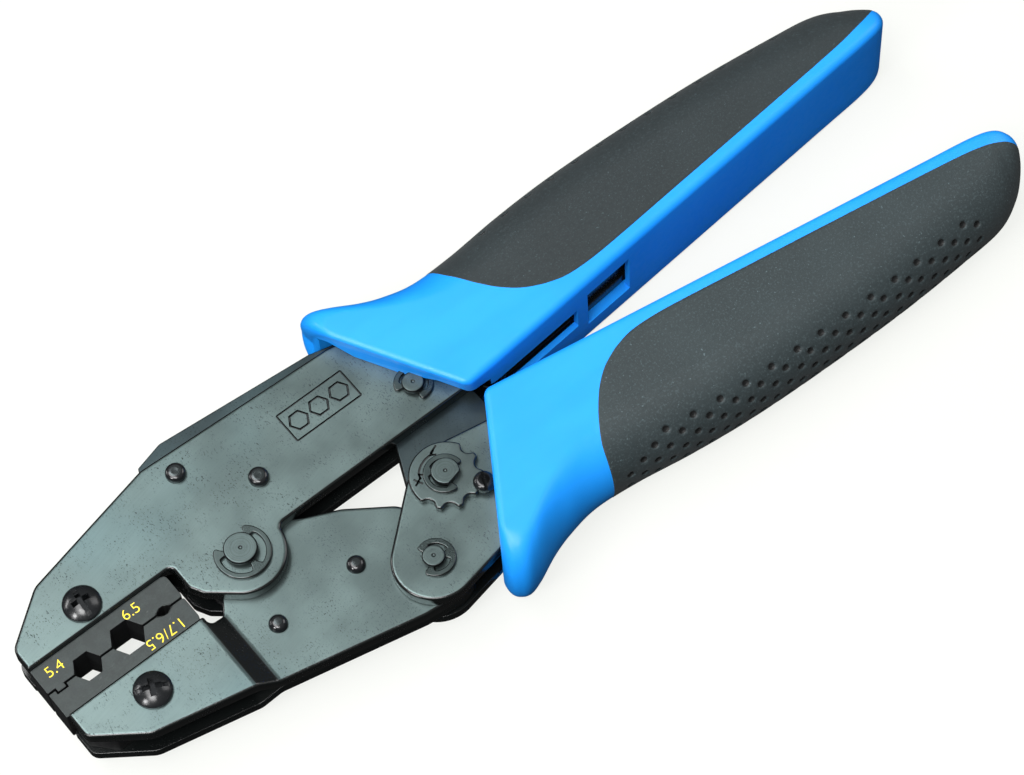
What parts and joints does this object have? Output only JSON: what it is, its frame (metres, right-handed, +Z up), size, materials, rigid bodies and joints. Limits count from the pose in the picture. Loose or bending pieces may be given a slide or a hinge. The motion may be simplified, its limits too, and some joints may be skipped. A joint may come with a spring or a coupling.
{
  "type": "ratchet crimping tool",
  "caption": "Ratchet crimping tool with a fixed and a moving blue grip, dark steel side plates, a toggle linkage and a pair of screwed-in hex dies.",
  "frame": {"origin": "centre of the tool's footprint, on the surface that it lies on", "axes": "+X from the jaw's nose towards the grips' ends, +Y towards the fixed grip, +Z up through the tool's thickness, out of its front face"},
  "size_m": [0.225, 0.0741, 0.023],
  "materials": {
    "plate_steel": "blackened, satin",
    "die_steel": "black oxide, satin",
    "black_screw": "glossy black oxide",
    "pin_steel": "turned",
    "clip_steel": "phosphated spring steel",
    "spring_steel": "bright drawn",
    "blue_plastic": "fine grained",
    "grey_rubber": "speckled, matt"
  },
  "bodies": {
    "frame": {"frame_plate_front": "plate_steel", "frame_plate_back": "plate_steel", "frame_spacer": "plate_steel", "frame_rivets": "black_screw", "tang_rivets": "pin_steel", "upper_die": "die_steel", "upper_die_screw": "black_screw", "main_pivot_pin": "pin_steel", "main_pivot_clips": "clip_steel", "link_pin": "pin_steel", "link_pin_clips": "clip_steel", "spring_post": "pin_steel", "opening_spring": "spring_steel", "upper_grip_shell": "blue_plastic", "upper_grip_cover": "grey_rubber"},
    "lower_jaw": {"jaw_plate_front": "plate_steel", "jaw_plate_back": "plate_steel", "jaw_rivets": "black_screw", "lower_die": "die_steel", "lower_die_screw": "black_screw"},
    "moving_handle": {"handle_plate_front": "plate_steel", "handle_plate_back": "plate_steel", "handle_spacer": "plate_steel", "handle_rivets": "pin_steel", "jaw_pin": "pin_steel", "jaw_pin_clips": "clip_steel", "adjuster_pin": "pin_steel", "adjuster_wheel": "plate_steel", "adjuster_clips": "clip_steel", "adjuster_lock_screw": "black_screw", "pawl_pin": "pin_steel", "pawl_spring": "spring_steel", "lower_grip_shell": "blue_plastic", "lower_grip_cover": "grey_rubber"},
    "ratchet_pawl": {"ratchet_pawl": "plate_steel"},
    "toggle_link": {"toggle_link": "plate_steel"}
  },
  "joints": [
    {"name": "jaw_pivot", "type": "hinge", "parent": "frame", "child": "lower_jaw", "pos_m": [-0.0661, 0.0019, 0.0115], "axis": [0, 0, 1], "range_deg": [0, 18]},
    {"name": "handle_pivot", "type": "hinge", "parent": "lower_jaw", "child": "moving_handle", "pos_m": [-0.0382, -0.0235, 0.0115], "axis": [0, 0, 1], "range_deg": [-59, 0]},
    {"name": "link_pivot", "type": "hinge", "parent": "frame", "child": "toggle_link", "pos_m": [-0.0179, 0.009, 0.0115], "axis": [0, 0, 1], "range_deg": [0, 34], "deforming": ["opening_spring"]},
    {"name": "pawl_pivot", "type": "hinge", "parent": "moving_handle", "child": "ratchet_pawl", "pos_m": [0.00142, -0.01762, 0.0115], "axis": [0, 0, 1], "range_deg": [-15, 15], "stiffness_Nm_per_rad": 0.02, "deforming": ["pawl_spring"]}
  ],
  "couplings": [
    {"joint": "jaw_pivot", "follows": "handle_pivot", "ratio": -0.3047},
    {"joint": "link_pivot", "follows": "handle_pivot", "ratio": -0.5707}
  ]
}
